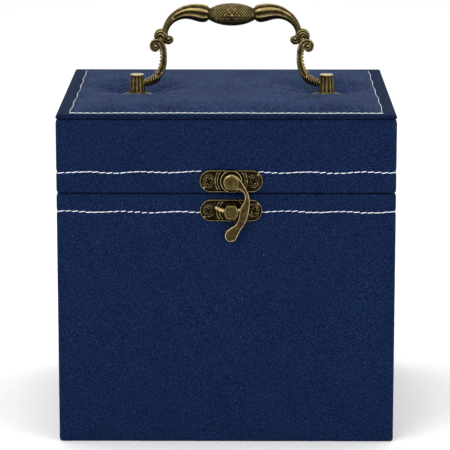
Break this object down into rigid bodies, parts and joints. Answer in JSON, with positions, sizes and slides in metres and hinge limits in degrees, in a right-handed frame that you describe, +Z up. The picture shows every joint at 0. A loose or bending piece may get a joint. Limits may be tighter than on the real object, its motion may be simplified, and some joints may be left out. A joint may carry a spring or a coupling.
{
  "type": "jewelry box",
  "caption": "Cube-shaped velvet jewelry case with a padded hinged lid, cast bail handle, swing-hook latch, and a ring tray that rises with the lid.",
  "frame": {"origin": "centre of the underside of the case, on the surface it stands on", "axes": "+Z up; +X to the right as seen from the front; the latch is on the front, which faces -Y"},
  "size_m": [0.15, 0.15, 0.1895],
  "materials": {
    "outer_velvet": "short-pile dark blue velvet",
    "lining_velvet": "dark blue velvet lining",
    "case_board": "plain fibreboard, hidden under velvet",
    "antique_bronze": "antiqued, dark in the recesses and polished on the edges",
    "mirror_glass": "silvered glass"
  },
  "bodies": {
    "body": {"body_frame": "case_board", "body_bottom_board": "case_board", "base_sheet": "outer_velvet", "body_wrap": "outer_velvet", "body_lining": "lining_velvet", "base_pad": "lining_velvet", "keeper": "antique_bronze", "keeper_screw_left": "antique_bronze", "keeper_screw_right": "antique_bronze", "hinge_body_leaf_left": "antique_bronze", "hinge_body_leaf_right": "antique_bronze", "hinge_pin_left": "antique_bronze", "hinge_pin_right": "antique_bronze", "hinge_body_screw_1": "antique_bronze", "hinge_body_screw_2": "antique_bronze", "hinge_body_screw_3": "antique_bronze", "hinge_body_screw_4": "antique_bronze", "body_bracket_left": "antique_bronze", "body_bracket_right": "antique_bronze"},
    "lid": {"lid_frame": "case_board", "lid_top_board": "case_board", "lid_wrap": "outer_velvet", "lid_top_pad": "outer_velvet", "lid_lining": "lining_velvet", "mirror": "mirror_glass", "mirror_frame": "lining_velvet", "handle_rosette_left": "antique_bronze", "handle_rosette_right": "antique_bronze", "handle_post_left": "antique_bronze", "handle_post_right": "antique_bronze", "handle_screw_left": "antique_bronze", "handle_screw_right": "antique_bronze", "hook_plate": "antique_bronze", "hook_plate_screw_left": "antique_bronze", "hook_plate_screw_right": "antique_bronze", "hook_rivet": "antique_bronze", "hinge_lid_leaf_left": "antique_bronze", "hinge_lid_leaf_right": "antique_bronze", "hinge_lid_screw_1": "antique_bronze", "hinge_lid_screw_2": "antique_bronze", "hinge_lid_screw_3": "antique_bronze", "hinge_lid_screw_4": "antique_bronze", "lid_bracket_left": "antique_bronze", "lid_bracket_right": "antique_bronze"},
    "handle": {"handle_bail": "antique_bronze"},
    "hook": {"latch_hook": "antique_bronze"},
    "upper_arms": {"upper_arm_left": "antique_bronze", "upper_arm_right": "antique_bronze"},
    "lower_arms": {"lower_arm_left": "antique_bronze", "lower_arm_right": "antique_bronze"},
    "lid_links": {"lid_link_left": "antique_bronze", "lid_link_right": "antique_bronze"},
    "tray": {"tray_box": "lining_velvet", "tray_bracket_left": "antique_bronze", "tray_bracket_right": "antique_bronze", "ring_roll_1": "lining_velvet", "ring_roll_2": "lining_velvet", "ring_roll_3": "lining_velvet", "ring_roll_4": "lining_velvet", "ring_roll_5": "lining_velvet"}
  },
  "joints": [
    {"name": "lid_hinge", "type": "hinge", "parent": "body", "child": "lid", "pos_m": [0, 0.07185, 0.1135], "axis": [-1, 0, 0], "range_deg": [0, 95]},
    {"name": "handle_swing", "type": "hinge", "parent": "lid", "child": "handle", "pos_m": [0.0022, 0, 0.1524], "axis": [1, 0, 0], "range_deg": [-80, 80]},
    {"name": "hook_swing", "type": "hinge", "parent": "lid", "child": "hook", "pos_m": [0.0022, -0.0737, 0.1193], "axis": [0, -1, 0], "range_deg": [0, 180]},
    {"name": "upper_arm_swing", "type": "hinge", "parent": "body", "child": "upper_arms", "pos_m": [0, 0.05, 0.1084], "axis": [-1, 0, 0], "range_deg": [0, 95]},
    {"name": "lower_arm_swing", "type": "hinge", "parent": "body", "child": "lower_arms", "pos_m": [0, 0.0465, 0.0887], "axis": [-1, 0, 0], "range_deg": [0, 95]},
    {"name": "tray_level", "type": "hinge", "parent": "upper_arms", "child": "tray", "pos_m": [0, 0.01016, 0.0854], "axis": [-1, 0, 0], "range_deg": [-95, 0]},
    {"name": "link_swing", "type": "hinge", "parent": "lid", "child": "lid_links", "pos_m": [0, 0.0399, 0.12513], "axis": [-1, 0, 0], "range_deg": [-95, 0]}
  ],
  "couplings": [
    {"joint": "upper_arm_swing", "follows": "lid_hinge", "ratio": 1},
    {"joint": "lower_arm_swing", "follows": "lid_hinge", "ratio": 1},
    {"joint": "tray_level", "follows": "lid_hinge", "ratio": -1},
    {"joint": "link_swing", "follows": "lid_hinge", "ratio": -1}
  ]
}
